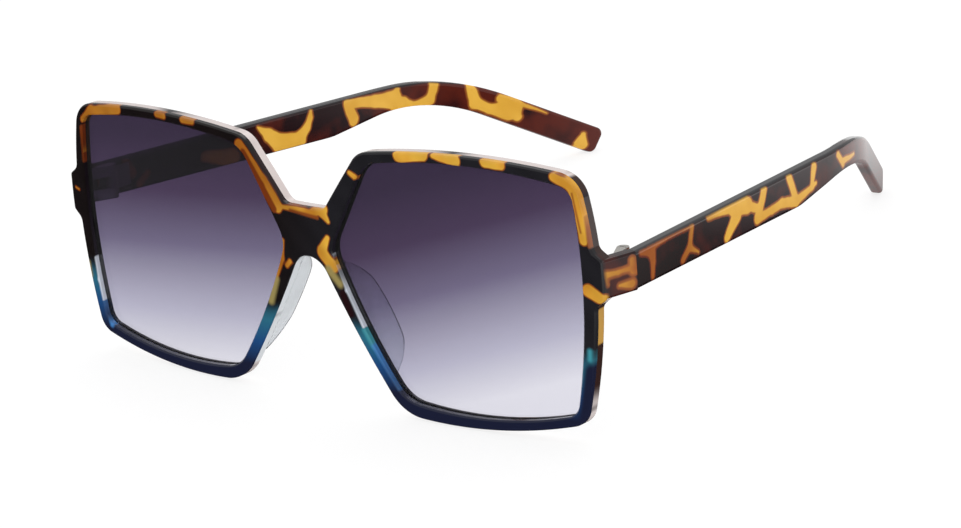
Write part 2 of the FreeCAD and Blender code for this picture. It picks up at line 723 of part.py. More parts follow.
# Pieces: seats and pockets cut where one piece lies in another, left ones mirrored from the right
lug_left = mirror(lug_body, "lug_left")
front_leaf_left = mirror(front_leaf, "hinge_front_leaf_left")
backing_cuts = group("Part::Compound", "backing_cuts",
                     [seat_body, mirror(seat_body, "lens_seat_left"), lug_body, lug_left])
backing = boolean("Part::Cut", "front_backing", backing_body, backing_cuts)
face_blank = group("Part::MultiFuse", "face_blank", [face_body, lug_body, lug_left])
face_cuts = group("Part::Compound", "face_cuts", [front_leaf, front_leaf_left])
face = boolean("Part::Cut", "front_face", face_blank, face_cuts)
temple = boolean("Part::Cut", "temple_right", temple_body, temple_leaf)
front_space = curved_blank("front_space", 0, front_depth)
nose_pad = boolean("Part::Cut", "nose_pad_right", pad_body, front_space)
pieces = [face, backing, lens_body, nose_pad, temple, front_leaf, temple_leaf, screw, front_leaf_left]
for piece, name in ((lens_body, "lens_left"), (nose_pad, "nose_pad_left"), (temple, "temple_left"),
                    (temple_leaf, "hinge_temple_leaf_left"), (screw, "hinge_screw_left")):
    pieces.append(mirror(piece, name))
doc.recompute()

# Origin under the middle of the whole, on the floor
box = FreeCAD.BoundBox()
for piece in pieces:
    box.add(piece.Shape.optimalBoundingBox())
to_origin = Placement(Vector(0, -box.Center.y, -box.ZMin), Rotation())
for item in placed:
    item.Placement = to_origin * item.Placement
doc.recompute()

for item in doc.Objects:
    if "Invalid" in item.State or "Error" in item.State:
        raise RuntimeError("failed: " + item.Name)
for piece in pieces:
    if piece.Shape.isNull() or not piece.Shape.isValid() or len(piece.Shape.Solids) != 1:
        raise RuntimeError("not one valid solid: " + piece.Label)

os.makedirs("parts", exist_ok=True)
for piece in pieces:
    piece.Shape.exportStep("parts/" + piece.Label + ".step")
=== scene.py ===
import math

import bpy
import numpy as np
from bpy.props import FloatProperty, FloatVectorProperty, PointerProperty
from mathutils import Matrix, Vector


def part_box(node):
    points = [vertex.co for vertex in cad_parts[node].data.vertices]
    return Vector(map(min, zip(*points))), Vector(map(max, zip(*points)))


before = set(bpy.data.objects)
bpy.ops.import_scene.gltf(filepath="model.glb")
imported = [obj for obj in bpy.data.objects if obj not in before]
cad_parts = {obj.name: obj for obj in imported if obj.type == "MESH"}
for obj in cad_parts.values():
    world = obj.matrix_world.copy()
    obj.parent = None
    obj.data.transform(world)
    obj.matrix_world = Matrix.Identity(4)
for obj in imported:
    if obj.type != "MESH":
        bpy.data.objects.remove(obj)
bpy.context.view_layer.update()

bl_info = {
    "name": "Oversized Sunglasses",
    "version": (1, 0, 0),
    "blender": (4, 5, 0),
    "location": "View3D > Sidebar > Sunglasses",
    "description": "Finishes the oversized sunglasses and sets them on a white studio floor",
    "category": "Object",
}

MM = 0.001

# The camera's film width in millimetres
FILM_WIDTH = 36.0

# Amber strokes of the tortoise pattern, in millimetres: along, height and half width at the start, then the
# same at the end. Along is x for the front and y for lugs and temples.
FRONT_AMBER_STROKES = (
    (-63.0, 53.6, 1.2, -53.6, 55.6, 1.2),
    (-65.5, 51.5, 1.1, -62.6, 53.9, 1.3),
    (-41.0, 56.2, 0.7, -38.8, 56.1, 0.7),
    (-33.0, 56.2, 0.8, -30.0, 56.0, 0.7),
    (-16.5, 52.8, 1.4, -10.9, 45.9, 1.7),
    (-10.9, 45.9, 1.7, -7.2, 41.1, 1.5),
    (-5.6, 41.1, 0.5, 3.2, 40.9, 0.7),
    (2.7, 41.3, 0.8, 5.5, 42.1, 1.2),
    (4.7, 41.8, 1.4, 6.5, 39.5, 0.5),
    (5.9, 36.0, 0.7, 4.2, 33.3, 1.2),
    (4.2, 32.8, 1.3, 6.8, 29.8, 1.2),
    (-6.7, 33.9, 0.6, -7.5, 29.9, 0.9),
    (-7.5, 29.9, 0.8, -11.0, 22.6, 0.6),
    (-5.0, 29.4, 0.6, -6.0, 28.5, 0.6),
    (13.3, 50.5, 0.5, 14.6, 49.8, 0.6),
    (26.6, 55.6, 1.7, 32.6, 56.1, 1.3),
    (35.2, 56.5, 0.8, 40.3, 55.9, 1.3),
    (47.5, 56.2, 1.3, 51.2, 56.0, 1.0),
    (63.0, 54.6, 0.9, 66.6, 53.1, 1.2),
    (66.8, 52.8, 1.2, 68.3, 48.9, 1.2),
    (68.5, 48.5, 1.3, 68.9, 42.4, 1.0),
    (69.1, 32.4, 1.3, 71.6, 31.2, 1.2),
    (-70.8, 35.7, 0.3, -69.9, 35.4, 0.3),
)
LUG_AMBER_STROKES = (
    (-60.0, 36.4, 0.9, -59.9, 34.4, 1.1),
    (-60.9, 34.9, 0.7, -63.5, 35.0, 0.6),
    (-63.5, 35.0, 0.6, -66.9, 35.6, 0.9),
    (-66.7, 35.3, 0.6, -66.5, 33.6, 0.4),
    (-63.6, 32.5, 0.5, -60.7, 31.9, 1.0),
)
RIGHT_TEMPLE_AMBER_STROKES = (
    (-56.9, 37.0, 0.9, -54.1, 35.9, 1.0),
    (-53.2, 36.4, 1.8, -53.0, 33.4, 1.0),
    (-53.0, 33.4, 1.0, -53.5, 30.7, 0.8),
    (-51.6, 36.5, 0.7, -37.5, 35.1, 0.4),
    (-37.2, 35.0, 0.9, -38.7, 31.3, 0.9),
    (-38.7, 31.3, 1.0, -41.9, 29.6, 0.9),
    (-38.4, 30.8, 0.8, -35.6, 28.8, 0.4),
    (-30.7, 34.4, 0.8, -22.4, 33.0, 1.2),
    (-20.7, 32.9, 2.2, -14.8, 30.9, 1.9),
    (-21.3, 33.5, 1.0, -15.2, 32.7, 1.0),
    (-19.5, 30.7, 2.0, -24.2, 27.5, 1.2),
    (-7.7, 31.7, 1.3, -11.2, 27.1, 1.6),
    (-14.8, 30.7, 1.2, -10.8, 29.0, 1.1),
    (-11.3, 26.7, 1.3, -5.2, 26.4, 1.0),
    (-5.2, 26.4, 1.0, -0.9, 26.4, 1.1),
    (-0.9, 26.2, 1.1, 5.4, 24.5, 1.4),
    (5.4, 24.5, 1.2, 12.7, 24.9, 0.8),
    (2.9, 30.5, 1.2, 5.1, 25.0, 1.3),
    (13.8, 28.9, 1.3, 12.3, 25.3, 0.9),
    (12.3, 25.1, 0.9, 14.1, 25.1, 0.6),
    (25.0, 27.8, 0.9, 27.1, 24.8, 0.9),
    (27.2, 25.4, 0.9, 34.2, 24.4, 0.5),
)
LEFT_TEMPLE_AMBER_STROKES = (
    (-51.5, 36.3, 0.9, -50.4, 33.2, 1.2),
    (-48.8, 30.1, 0.9, -46.2, 31.8, 0.8),
    (-30.0, 30.2, 1.2, -22.6, 27.5, 2.2),
    (-14.5, 32.0, 0.4, -12.0, 29.3, 1.6),
    (-12.0, 29.3, 1.6, -9.2, 26.4, 2.2),
    (-9.2, 26.4, 2.2, -3.4, 25.1, 2.2),
    (-3.4, 25.4, 2.0, -0.6, 27.4, 1.2),
    (-0.6, 27.4, 1.2, 0.9, 29.4, 0.9),
    (0.9, 29.4, 0.9, 1.4, 30.9, 0.5),
    (12.2, 29.1, 1.3, 13.5, 24.7, 1.6),
    (13.4, 28.7, 1.3, 20.6, 27.2, 1.6),
    (20.6, 27.2, 1.6, 26.1, 25.9, 2.3),
    (26.2, 26.2, 1.4, 27.3, 27.8, 0.9),
    (26.5, 24.8, 1.8, 28.7, 24.2, 1.5),
    (28.7, 23.9, 1.4, 31.6, 22.8, 0.8),
    (31.6, 23.0, 0.8, 35.3, 23.0, 1.4),
    (35.5, 22.9, 1.4, 36.6, 25.0, 1.2),
    (36.6, 25.0, 1.2, 37.1, 26.6, 1.4),
    (45.6, 23.1, 1.3, 45.9, 19.2, 1.5),
    (45.9, 19.2, 1.6, 49.0, 16.9, 1.3),
    (49.0, 16.9, 1.4, 53.4, 15.4, 2.7),
    (51.8, 18.9, 1.2, 54.2, 16.2, 2.6),
    (54.1, 15.5, 2.3, 55.0, 13.2, 1.2),
    (56.2, 16.4, 0.7, 61.6, 12.4, 0.3),
    (69.1, 5.1, 0.8, 68.3, 3.0, 1.9),
)
# Further strokes on the front, in the same measure
FRONT_RUST_STROKES = (
    (-15.6, 51.4, 0.8, -11.3, 45.0, 0.9),
    (-11.3, 45.0, 0.9, -8.2, 40.3, 0.8),
    (-3.7, 40.7, 0.3, 3.7, 40.0, 0.4),
    (-7.2, 33.8, 0.5, -7.3, 31.7, 0.4),
    (69.7, 47.0, 0.5, 70.2, 41.5, 0.6),
    (-66.6, 49.5, 0.7, -67.2, 42.0, 0.4),
    (66.9, 51.6, 0.2, 68.3, 44.0, 0.2),
)
FRONT_MAROON_STROKES = (
    (-12.6, 51.4, 0.4, -5.4, 42.3, 0.35),
    (8.9, 24.6, 0.9, 10.6, 20.6, 0.8),
)
FRONT_OLIVE_STROKES = (
    (5.6, 29.3, 0.9, 8.3, 26.6, 0.8),
    (-9.2, 25.2, 0.6, -11.5, 20.3, 0.9),
    (-69.3, 19.0, 0.5, -69.0, 16.3, 0.6),
)
# Painted highlights: pale streaks where the rims' edges catch the light beside the lenses, and a glint on the
# right leg of the bridge
FRONT_PAINTED_HIGHLIGHT_STROKES = (
    (-66.7, 20.3, 0.45, -66.2, 15.5, 0.45),
    (-66.2, 15.5, 0.45, -65.7, 11.0, 0.15),
    (7.2, 32.6, 0.3, 7.4, 32.0, 0.3),
    (7.9, 30.4, 0.25, 9.9, 25.4, 0.25),
    (9.9, 25.4, 0.25, 13.5, 18.2, 0.25),
)
FRONT_AQUA_STROKES = (
    (13.7, 17.6, 0.5, 15.8, 14.4, 0.5),
    (68.6, 20.0, 0.5, 68.5, 18.4, 0.5),
)
# Painted highlights: light-blue streaks where the blue foot of the rims catches the light
FRONT_BLUE_HIGHLIGHT_STROKES = (
    (15.8, 14.4, 0.4, 21.6, 6.3, 0.3),
    (-66.0, 13.5, 0.3, -63.4, 5.9, 0.6),
)
# A painted gold highlight along the bevel in the left corner, and a navy patch at the foot of the right rim
FRONT_GOLD_HIGHLIGHT_STROKES = (
    (-65.8, 51.2, 0.35, -67.0, 44.0, 0.25),
)
FRONT_NAVY_STROKES = (
    (68.8, 15.6, 1.8, 66.8, 5.0, 1.8),
)
# Dark edges of the temples, along the top and then the bottom
TEMPLE_EDGE_STROKES = (
    (-59.0, 37.9, 0.4, 24.0, 29.2, 0.4),
    (24.0, 29.2, 0.4, 36.0, 27.3, 0.3),
    (36.0, 27.3, 0.3, 44.0, 24.5, 0.2),
    (-59.0, 30.1, 0.15, 4.0, 23.0, 0.15),
)
# Dark walls of the backing around the right lens, from corner to corner, and their half width; the left lens
# has the same, mirrored
OPENING_WALL_POINTS = (
    (66.0, 7.8),
    (68.6, 35.2),
    (67.4, 50.3),
    (64.2, 53.5),
    (38.5, 55.6),
    (19.2, 53.8),
    (14.3, 50.1),
    (5.9, 33.3),
    (12.9, 17.2),
    (21.1, 4.8),
    (24.9, 2.6),
    (39.2, 1.6),
    (62.9, 4.7),
)
OPENING_WALL_HALF = 1.2
# Brown that shows through the backing, on its outer wall at the right and last in a thin line left of the
# bridge, and the amber window in that wall
BACKING_BROWN_STROKES = (
    (66.0, 55.0, 0.5, 68.5, 50.7, 0.9),
    (68.5, 50.7, 0.9, 69.4, 46.3, 0.9),
    (69.4, 46.3, 0.9, 70.4, 39.5, 1.0),
    (70.4, 39.5, 1.0, 72.4, 38.4, 0.9),
    (70.4, 31.0, 1.0, 69.6, 20.0, 0.9),
    (69.6, 20.0, 0.9, 68.4, 8.0, 0.8),
    (-16.0, 55.9, 0.15, -8.9, 47.4, 0.15),
)
BACKING_AMBER_STROKES = (
    (70.3, 27.5, 0.8, 69.9, 21.5, 0.6),
)
# Clear walls of the backing beside the nose; the other side has the same, mirrored
BACKING_NOSE_STROKES = (
    (3.0, 31.0, 1.0, 8.5, 21.0, 1.4),
    (8.5, 21.0, 1.4, 18.0, 5.5, 1.4),
)
# What is painted over the front's amber, in order: strokes, the name of their tint and their soft fringe
FRONT_AMBER_PAINTS = (
    (FRONT_RUST_STROKES, "rust", 0.3),
    # A painted highlight along the bevel
    (FRONT_GOLD_HIGHLIGHT_STROKES, "gold", 0.15),
)
# What is painted over all the front's colours after that
FRONT_PAINTS = (
    (FRONT_NAVY_STROKES, "navy", 0.8),
    (FRONT_MAROON_STROKES, "maroon", 0.4),
    (FRONT_OLIVE_STROKES, "olive", 0.6),
    (FRONT_AQUA_STROKES, "aqua", 0.6),
    # Painted highlights on the blue foot
    (FRONT_BLUE_HIGHLIGHT_STROKES, "painted_blue_highlight", 0.5),
    # Painted highlights beside the lenses
    (FRONT_PAINTED_HIGHLIGHT_STROKES, "painted_highlight", 0.2),
)
# How far strokes that meet are webbed together, in millimetres
STROKE_WEB = 0.7

# Refraction of the plastics, acetate and acrylic alike
PLASTIC_IOR = 1.49
# Sizes of the patterns in the finishes
CLOUD_SIZE = 9 * MM
CRYSTAL_CLOUD_SIZE = 8 * MM
PEEL_SIZE = 1.6 * MM
PEEL_DEPTH = 0.05 * MM
SCRATCH_WIDTH = 0.15 * MM
SCRATCH_LENGTH = 2 * MM
FIBRE_SIZE = 3 * MM
# Noise values between which two colours of a cloud run into each other
AMBER_CLOUD = (0.36, 0.64)
DARK_CLOUD = (0.45, 0.72)
PLAIN_CLOUD = (0.3, 0.7)
# Shares of a finish's colour that are left in its clouds, scratches and fibres
CRYSTAL_CLOUD_SHARE = 0.9
SCRATCH_SHARE = 0.75
FIBRE_SHARE = 0.99
# How much the amber's bands show, and the roughness of the clear plastic's smoothest spots over its highest
BAND_SHARE = 0.15
SMOOTH_SHARE = 0.6
# A diagonal wave of scale 1 repeats after this length on an upright face
WAVE_LENGTH = 2 * math.pi / (10 * math.sqrt(2))

# Where a change in a finish, or the painted shade on the front's left, begins and where it is complete, along
# x on the front
LEFT_SHADE_SPAN = (8 * MM, -10 * MM)
LUG_SIDE_SPAN = (70.6 * MM, 71.4 * MM)
# The same along y, on the lugs and the temples
LUG_BACK_SPAN = (-67 * MM, -66 * MM)
STAIN_SPAN = (-22 * MM, -44 * MM)
RED_SPAN = (5 * MM, 38 * MM)
# How much painted shade browns the front's amber on the left, and how much redder the temples' dark gets
# along the red span
LEFT_SHADE_SHARE = 0.75
RED_TURNS = (-0.08, 0.16)
# Shares of a lens's height where its tints stand, from the foot up, and of the blue's height where black,
# teal, blue and navy stand, from the top down; the last is the share over which the blue fades in
DYE_SHARES = (0.1, 0.28, 0.56, 0.77, 1.0)
BLUE_SHARES = (0.0, 0.25, 0.5, 0.75)
BLUE_FADE_SHARE = 0.2

# Where the painted dark reflection on the floor, the card, begins to show and where it is whole, along y and
# along x
REFLECTED_CARD_BACK_SPAN = (112 * MM, 42 * MM)
REFLECTED_CARD_SIDE_SPAN = (220 * MM, 86 * MM)
FLOOR_LINES = 9
SOFTBOX_SPREAD = math.radians(60)
SOFTBOX_TURN = (math.radians(-22), math.radians(-14), 0)
NEAREST_VIEW = 10 * MM


def colour(code):
    """Linear colour of an sRGB hex value."""
    parts = [int(code[i:i + 2], 16) / 255 for i in (0, 2, 4)]
    return tuple(c / 12.92 if c <= 0.04045 else ((c + 0.055) / 1.055) ** 2.4 for c in parts)


def opaque(value):
    """A linear colour with full alpha, as node sockets take it."""
    return (value[0], value[1], value[2], 1.0)


def dimmed(value, share):
    """A share of a linear colour."""
    return tuple(part * share for part in value)


class TortoiseLook(bpy.types.PropertyGroup):
    """Colours and sizes of the tortoise plastic on the front and the temples, and of the highlights and shade
    painted on the front.
    """

    amber: FloatVectorProperty(name="Amber", description="Clear amber of the temples",
                               subtype="COLOR", default=colour("E8AC3A"))
    honey: FloatVectorProperty(name="Honey", description="Lighter amber of the temples",
                               subtype="COLOR", default=colour("F8C04A"))
    # Also the colour of the painted highlight along the left corner's bevel
    gold: FloatVectorProperty(name="Gold", description="Clear amber of the front",
                              subtype="COLOR", default=colour("F6C147"))
    deep: FloatVectorProperty(name="Deep gold", description="Darker amber of the front",
                              subtype="COLOR", default=colour("D8932E"))
    brown: FloatVectorProperty(name="Brown", description="Darker amber of the lugs",
                               subtype="COLOR", default=colour("A2561B"))
    olive: FloatVectorProperty(name="Olive", description="Where amber turns to teal",
                               subtype="COLOR", default=colour("9C8C55"))
    # Colour of the painted highlights beside the lenses
    painted_highlight: FloatVectorProperty(name="Pale", description="Clear streaks beside the lenses",
                              subtype="COLOR", default=colour("DDE3EE"))
    aqua: FloatVectorProperty(name="Aqua", description="Clear green-blue streaks in the foot",
                              subtype="COLOR", default=colour("429AA8"))
    # Colour of the painted highlights on the blue foot
    painted_blue_highlight: FloatVectorProperty(name="Light blue", description="Clear blue streaks in the foot",
                             subtype="COLOR", default=colour("4486CC"))
    rust: FloatVectorProperty(name="Rust", description="Orange brown where amber runs into dark",
                              subtype="COLOR", default=colour("9A5322"))
    # Also the colour of the painted shade that browns the front's amber on the left
    stain_and_shade: FloatVectorProperty(name="Stain", description="Brown that dims the amber in places",
                               subtype="COLOR", default=colour("B07C5A"))
    maroon: FloatVectorProperty(name="Maroon", description="Dark patches of the temples and lugs",
                                subtype="COLOR", default=colour("240F12"))
    oxblood: FloatVectorProperty(name="Oxblood", description="Redder clouds in those patches",
                                 subtype="COLOR", default=colour("5C2015"))
    black: FloatVectorProperty(name="Black", description="Dark of the front and of the temples' edges",
                               subtype="COLOR", default=colour("222125"))
    teal: FloatVectorProperty(name="Teal", description="Where the front turns blue",
                              subtype="COLOR", default=colour("2C6C84"))
    blue: FloatVectorProperty(name="Blue", description="Below the teal",
                              subtype="COLOR", default=colour("1E4A80"))
    navy: FloatVectorProperty(name="Navy", description="Foot of the rims",
                              subtype="COLOR", default=colour("1C2038"))
    wander_size: FloatProperty(name="Wander size", description="Size of the waves in the patches' edges",
                               default=6 * MM, unit="LENGTH")
    wander_depth: FloatProperty(name="Wander depth", description="How far those waves go",
                                default=0.9 * MM, unit="LENGTH")
    blue_top: FloatProperty(name="Blue top", description="Height where the front begins to turn blue",
                            default=21 * MM, unit="LENGTH")
    band_spacing: FloatProperty(name="Band spacing", description="Distance between faint bands in the amber",
                                default=6.22 * MM, unit="LENGTH")


class LensLook(bpy.types.PropertyGroup):
    """Colours of the lenses' dye as seen against white, its slope and its depth, which differ between the
    lenses partly to paint in reflections, and their haze.
    """

    top: FloatVectorProperty(name="Top tint", description="Tint under the brow",
                             subtype="COLOR", default=colour("31253D"))
    upper: FloatVectorProperty(name="Upper tint", description="Tint above the middle",
                               subtype="COLOR", default=colour("443551"))
    middle: FloatVectorProperty(name="Middle tint", description="Tint at the middle",
                                subtype="COLOR", default=colour("6E6682"))
    lower: FloatVectorProperty(name="Lower tint", description="Tint below the middle",
                               subtype="COLOR", default=colour("B9B7CB"))
    foot: FloatVectorProperty(name="Foot tint", description="Tint at the foot",
                              subtype="COLOR", default=colour("E4E3ED"))
    # The two lenses' slants and dips differ partly to paint in the reflections each lens shows
    slant_and_reflection_right: FloatProperty(name="Right slant", default=0.33,
                               description="Fall of the right lens's dye towards the right")
    slant_and_reflection_left: FloatProperty(name="Left slant", default=0.1,
                              description="Fall of the left lens's dye towards the right")
    dip_and_reflection_right: FloatProperty(name="Right dip", description="How much deeper the right lens was dipped",
                             default=2.7 * MM, unit="LENGTH")
    dip_and_reflection_left: FloatProperty(name="Left dip", description="How much deeper the left lens was dipped",
                            default=4 * MM, unit="LENGTH")
    haze: FloatProperty(name="Haze", description="How much light the lenses' coat scatters", default=0.03)


class ClearLook(bpy.types.PropertyGroup):
    """Colours of the clear backing, the nose pads and the hinge metal."""

    backing: FloatVectorProperty(name="Backing", description="Clear plastic behind the front",
                                 subtype="COLOR", default=colour("F6E9E6"))
    wall: FloatVectorProperty(name="Walls", description="Dark walls beside the lenses",
                              subtype="COLOR", default=colour("1F1922"))
    brown: FloatVectorProperty(name="Brown", description="Brown that shows through the backing",
                               subtype="COLOR", default=colour("3B2622"))
    amber: FloatVectorProperty(name="Amber", description="Amber window in the backing",
                               subtype="COLOR", default=colour("D7A552"))
    pads: FloatVectorProperty(name="Pads", description="Clear plastic of the nose pads",
                              subtype="COLOR", default=colour("F7FBFF"))
    metal: FloatVectorProperty(name="Hinge metal", description="Nickel silver of the hinges",
                               subtype="COLOR", default=colour("E2DFD9"))


class StageLook(bpy.types.PropertyGroup):
    """Floor, light and camera."""

    floor: FloatVectorProperty(name="Floor", description="Colour of the floor",
                               subtype="COLOR", default=colour("FCFCFC"))
    floor_glow: FloatProperty(name="Floor glow", default=0.82,
                              description="Share of the floor's white that no shadow dims")
    floor_shade: FloatProperty(name="Floor shade", default=0.25,
                               description="Share of the floor's white that shadows dim")
    mirrored_sky: FloatProperty(name="Mirrored sky", default=0.55,
                                description="Share of the sky that polished pieces reflect")
    reflected_card: FloatVectorProperty(name="Card", description="Dark card that polished pieces reflect",
                              subtype="COLOR", default=colour("28282C"))
    floor_size: FloatProperty(name="Floor size", description="Width of the floor",
                              default=8.0, unit="LENGTH")
    sky_strength: FloatProperty(name="Sky", description="Strength of the even light", default=0.85)
    sun_strength: FloatProperty(name="Sun", description="Strength of the soft lamp", default=0.75)
    azimuth: FloatProperty(name="Azimuth", description="Camera's turn around the object",
                           subtype="ANGLE", default=math.radians(41.603))
    elevation: FloatProperty(name="Elevation", description="Camera's height angle",
                             subtype="ANGLE", default=math.radians(20.411))
    roll: FloatProperty(name="Roll", description="Camera's tilt",
                        subtype="ANGLE", default=math.radians(-7.4288))
    distance: FloatProperty(name="Distance", description="Camera's distance from its target",
                            default=0.69468, unit="LENGTH")
    focal: FloatProperty(name="Focal length", description="Camera's focal length in millimetres",
                         default=133.707)
    target: FloatVectorProperty(name="Target", description="Point that the camera looks at",
                                subtype="XYZ", unit="LENGTH", default=(0.046808, -0.072825, 0.036528))


class SunglassesLook(bpy.types.PropertyGroup):
    """All that a user may change."""

    tortoise: PointerProperty(type=TortoiseLook)
    lens: PointerProperty(type=LensLook)
    clear: PointerProperty(type=ClearLook)
    stage: PointerProperty(type=StageLook)


def add_node(tree, kind, inputs=None, stops=(), **settings):
    """Adds a node with its settings, its colour stops and its inputs; an input that is a socket is linked."""
    node = tree.nodes.new(kind)
    for name, value in settings.items():
        setattr(node, name, value)
    for socket, value in (inputs or {}).items():
        if isinstance(value, bpy.types.NodeSocket):
            tree.links.new(value, node.inputs[socket])
        else:
            node.inputs[socket].default_value = value
    for index, (place, shade) in enumerate(stops):
        if index >= len(node.color_ramp.elements):
            node.color_ramp.elements.new(1.0)
        node.color_ramp.elements[index].position = place
        node.color_ramp.elements[index].color = opaque(shade)
    return node


def new_material(name, constants):
    """A node material with constants on its shader's sockets, and its tree, shader and object coordinates."""
    material = bpy.data.materials.new(name)
    material.use_nodes = True
    tree = material.node_tree
    tree.nodes.clear()
    output = add_node(tree, "ShaderNodeOutputMaterial")
    shader = add_node(tree, "ShaderNodeBsdfPrincipled", constants)
    tree.links.new(shader.outputs["BSDF"], output.inputs["Surface"])
    place = add_node(tree, "ShaderNodeTexCoord").outputs["Object"]
    return material, tree, shader, place


def wandering(tree, place, look):
    """Coordinates pushed about by soft noise, so that patches get uneven edges."""
    noise = add_node(tree, "ShaderNodeTexNoise",
                     {"Vector": place, "Scale": 1 / look.wander_size, "Detail": 2.0})
    centred = add_node(tree, "ShaderNodeVectorMath", {0: noise.outputs["Color"], 1: (0.5, 0.5, 0.5)},
                       operation="SUBTRACT")
    push = (look.wander_depth,) * 3
    moved = add_node(tree, "ShaderNodeVectorMath", {0: centred.outputs[0], 1: push, 2: place},
                     operation="MULTIPLY_ADD")
    return moved.outputs[0]


def stroke_group():
    """Node group for one stroke: how far a point is outside it, in millimetres, below 0 within.

    The stroke is a line from a start. The point's share of the way along the line, kept between 0 and 1,
    gives the line's nearest point and the half width there. The result is the distance to that point less
    the half width.
    """
    group = bpy.data.node_groups.new("stroke", "ShaderNodeTree")
    for name, kind in (("Point", "Vector"), ("Start", "Vector"), ("Line", "Vector"), ("Way", "Vector"),
                       ("Offset", "Float"), ("Half", "Float"), ("Growth", "Float")):
        group.interface.new_socket(name, in_out="INPUT", socket_type="NodeSocket" + kind)
    group.interface.new_socket("Outside", in_out="OUTPUT", socket_type="NodeSocketFloat")
    given = add_node(group, "NodeGroupInput").outputs
    along = add_node(group, "ShaderNodeVectorMath", {0: given["Point"], 1: given["Way"]},
                     operation="DOT_PRODUCT")
    share = add_node(group, "ShaderNodeMath", {0: along.outputs["Value"], 1: given["Offset"]},
                     operation="SUBTRACT", use_clamp=True)
    near = add_node(group, "ShaderNodeVectorMath",
                    {0: given["Line"], 1: share.outputs[0], 2: given["Start"]}, operation="MULTIPLY_ADD")
    reach = add_node(group, "ShaderNodeVectorMath", {0: given["Point"], 1: near.outputs[0]},
                     operation="DISTANCE")
    half = add_node(group, "ShaderNodeMath", {0: share.outputs[0], 1: given["Growth"], 2: given["Half"]},
                    operation="MULTIPLY_ADD")
    outside = add_node(group, "ShaderNodeMath", {0: reach.outputs["Value"], 1: half.outputs[0]},
                       operation="SUBTRACT")
    add_node(group, "NodeGroupOutput", {"Outside": outside.outputs[0]})
    return group


def stroke_field(tree, place, strokes, along_axis):
    """Distance in millimetres outside the nearest stroke, with strokes that meet webbed together."""
    group = bpy.data.node_groups.get("stroke") or stroke_group()
    scaled = add_node(tree, "ShaderNodeVectorMath", {0: place, "Scale": 1 / MM}, operation="SCALE")
    axes = add_node(tree, "ShaderNodeSeparateXYZ", {0: scaled.outputs[0]})
    point = add_node(tree, "ShaderNodeCombineXYZ", {"X": axes.outputs[along_axis], "Y": axes.outputs["Z"]})
    field = None
    for start_along, start_height, start_half, end_along, end_height, end_half in strokes:
        start = Vector((start_along, start_height, 0))
        line = Vector((end_along, end_height, 0)) - start
        way = line / line.length_squared
        stroke = add_node(tree, "ShaderNodeGroup",
                          {"Point": point.outputs[0], "Start": start, "Line": line, "Way": way,
                           "Offset": way.dot(start), "Half": start_half, "Growth": end_half - start_half},
                          node_tree=group)
        if field is None:
            field = stroke.outputs[0]
        else:
            field = add_node(tree, "ShaderNodeMath", {0: field, 1: stroke.outputs[0], 2: STROKE_WEB},
                             operation="SMOOTH_MIN").outputs[0]
    return field


def both_sides(strokes):
    """The strokes and their mirror images across the middle of the front."""
    return strokes + tuple((-row[0], row[1], row[2], -row[3], row[4], row[5]) for row in strokes)


def ring(points, half):
    """Strokes of one half width from each point to the next and from the last to the first."""
    return tuple((*start, half, *end, half) for start, end in zip(points, points[1:] + points[:1]))


def gloss(tree, shader, place, smooth, rough, grain):
    """Moulded and tumbled plastic: an even gloss with faint cloudy dull spots and a hint of orange peel."""
    cloud = add_node(tree, "ShaderNodeTexNoise", {"Vector": place, "Scale": 1 / CLOUD_SIZE, "Detail": 3.0})
    spread = add_node(tree, "ShaderNodeMapRange",
                      {"Value": cloud.outputs["Fac"], "To Min": smooth, "To Max": rough})
    tree.links.new(spread.outputs[0], shader.inputs["Roughness"])
    peel = add_node(tree, "ShaderNodeTexNoise", {"Vector": place, "Scale": 1 / PEEL_SIZE, "Detail": 1.0})
    bump = add_node(tree, "ShaderNodeBump",
                    {"Height": peel.outputs["Fac"], "Strength": grain, "Distance": PEEL_DEPTH})
    tree.links.new(bump.outputs[0], shader.inputs["Normal"])


def paint(tree, shade, place, strokes, along_axis, tint, fringe):
    """Lays a tint over a colour inside strokes, with a soft fringe around them, in millimetres."""
    outside = stroke_field(tree, place, strokes, along_axis)
    cover = add_node(tree, "ShaderNodeMapRange",
                     {"Value": outside, "From Min": fringe, "From Max": -fringe},
                     interpolation_type="SMOOTHSTEP")
    return add_node(tree, "ShaderNodeMix", {0: cover.outputs[0], 6: shade, 7: opaque(tint)},
                    data_type="RGBA").outputs[2]


def tortoise_colour(tree, place, look, strokes, along_axis, ambers, darks, fringe, turn=0.0):
    """Strokes clouded with two ambers that run through a fringe of rust into a ground clouded with two darks.

    A turn above 0 gives more of the second dark, below 0 more of the first.
    """
    outside = stroke_field(tree, wandering(tree, place, look), strokes, along_axis)
    cloud = add_node(tree, "ShaderNodeTexNoise", {"Vector": place, "Scale": 1 / CLOUD_SIZE, "Detail": 2.0})
    clear = add_node(tree, "ShaderNodeValToRGB", {"Fac": cloud.outputs["Fac"]},
                     stops=zip(AMBER_CLOUD, ambers))
    inner = add_node(tree, "ShaderNodeMapRange", {"Value": outside, "From Min": -fringe, "From Max": 0.0},
                     interpolation_type="SMOOTHSTEP")
    outer = add_node(tree, "ShaderNodeMapRange", {"Value": outside, "From Min": 0.0, "From Max": fringe},
                     interpolation_type="SMOOTHSTEP")
    warm = add_node(tree, "ShaderNodeMix",
                    {0: inner.outputs[0], 6: clear.outputs[0], 7: opaque(look.rust)}, data_type="RGBA")
    turned = add_node(tree, "ShaderNodeMath", {0: cloud.outputs["Fac"], 1: turn}, operation="ADD")
    ground = add_node(tree, "ShaderNodeValToRGB", {"Fac": turned.outputs[0]}, stops=zip(DARK_CLOUD, darks))
    mixed = add_node(tree, "ShaderNodeMix",
                     {0: outer.outputs[0], 6: warm.outputs[2], 7: ground.outputs[0]}, data_type="RGBA")
    return mixed.outputs[2]


